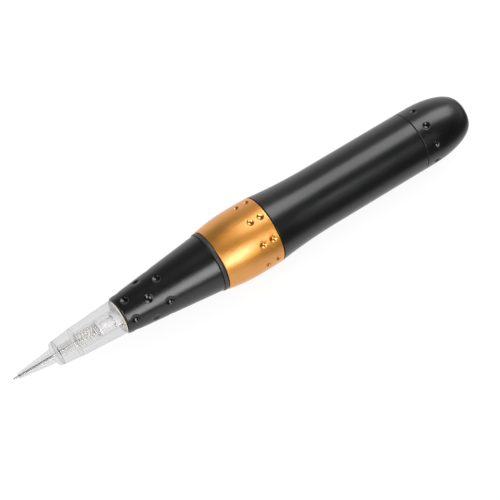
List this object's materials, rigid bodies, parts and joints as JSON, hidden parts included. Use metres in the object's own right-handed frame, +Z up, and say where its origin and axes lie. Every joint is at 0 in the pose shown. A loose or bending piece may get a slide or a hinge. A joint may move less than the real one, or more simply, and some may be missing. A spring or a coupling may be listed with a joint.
{
  "type": "tattoo pen",
  "caption": "Slim rotary tattoo pen with a tapered dimpled grip, a turning depth ring, a tube-shaped motor barrel, a rounded rear cap with a jack, and a screw-in clear needle cartridge.",
  "frame": {"origin": "on the plane the pen lies on, under the middle of its length and width", "axes": "+X along the pen from the needle towards the rear cap, +Z up, +Y to the left of a viewer looking along +X"},
  "size_m": [0.151, 0.0206, 0.0205],
  "materials": {
    "black_anodised": "satin black anodised",
    "gold_anodised": "satin gold anodised",
    "clear_plastic": "clear moulded polycarbonate",
    "white_plastic": "moulded",
    "cream_rubber": "soft washer",
    "black_rubber": "moulded O-ring",
    "black_plastic": "moulded",
    "steel": "ground",
    "spring_steel": "drawn wire",
    "aluminium": "turned",
    "brass": "turned",
    "bronze": "sintered",
    "copper": "bright",
    "plated_can": "zinc plated",
    "ferrite": "ground ferrite",
    "core_iron": "laminated steel",
    "red_wire": "insulation",
    "black_wire": "insulation"
  },
  "bodies": {
    "handpiece": {"barrel": "black_anodised", "snap_ring": "spring_steel", "neck_tube": "aluminium", "key_pin": "steel", "guide_bush": "bronze", "motor_plate": "aluminium", "motor_can": "plated_can", "motor_screw_left": "steel", "motor_screw_right": "steel", "magnet_upper": "ferrite", "magnet_lower": "ferrite", "front_bearing": "bronze", "rear_bearing": "bronze", "motor_end_cap": "black_plastic", "terminal_left": "brass", "terminal_right": "brass", "brush_left": "copper", "brush_right": "copper", "rear_cap": "black_anodised", "cap_seal": "black_rubber", "jack_body": "black_plastic", "jack_sleeve": "steel", "jack_contact_left": "brass", "jack_contact_right": "brass", "wire_left": "black_wire", "wire_right": "red_wire"},
    "ring": {"depth_ring": "gold_anodised"},
    "grip": {"front_grip": "black_anodised", "grip_seal": "black_rubber", "grip_insert": "brass", "cartridge_nozzle": "clear_plastic", "cartridge_shell": "clear_plastic", "cartridge_bush": "white_plastic", "cartridge_washer": "cream_rubber", "cartridge_rear_cap": "white_plastic"},
    "needle_drive": {"needle": "steel", "needle_hub": "white_plastic", "tail_tube": "white_plastic", "drive_socket": "steel", "socket_screw": "steel", "push_rod": "steel", "cam_follower": "steel", "follower_button": "steel", "guide_pin": "steel", "cartridge_spring": "spring_steel", "return_spring": "spring_steel"},
    "rotor": {"motor_shaft": "steel", "slant_cam": "steel", "cam_screw": "steel", "armature_core": "core_iron", "winding_1": "copper", "winding_2": "copper", "winding_3": "copper", "commutator": "copper"}
  },
  "joints": [
    {"name": "ring_turn", "type": "hinge", "parent": "handpiece", "child": "ring", "pos_m": [0, 0, 0.01026], "axis": [1, 0, 0], "range_deg": [0, 720]},
    {"name": "grip_slide", "type": "slide", "parent": "handpiece", "child": "grip", "axis": [-1, 0, 0], "range_m": [0, 0.002], "deforming": ["cartridge_spring"]},
    {"name": "needle_stroke", "type": "slide", "parent": "handpiece", "child": "needle_drive", "axis": [1, 0, 0], "range_m": [0, 0.002], "deforming": ["cartridge_spring", "return_spring"]},
    {"name": "motor_spin", "type": "hinge", "parent": "handpiece", "child": "rotor", "pos_m": [0, 0, 0.01026], "axis": [1, 0, 0], "continuous": true}
  ],
  "couplings": [
    {"joint": "grip_slide", "follows": "ring_turn", "m_per_rad": 0.00015915}
  ]
}
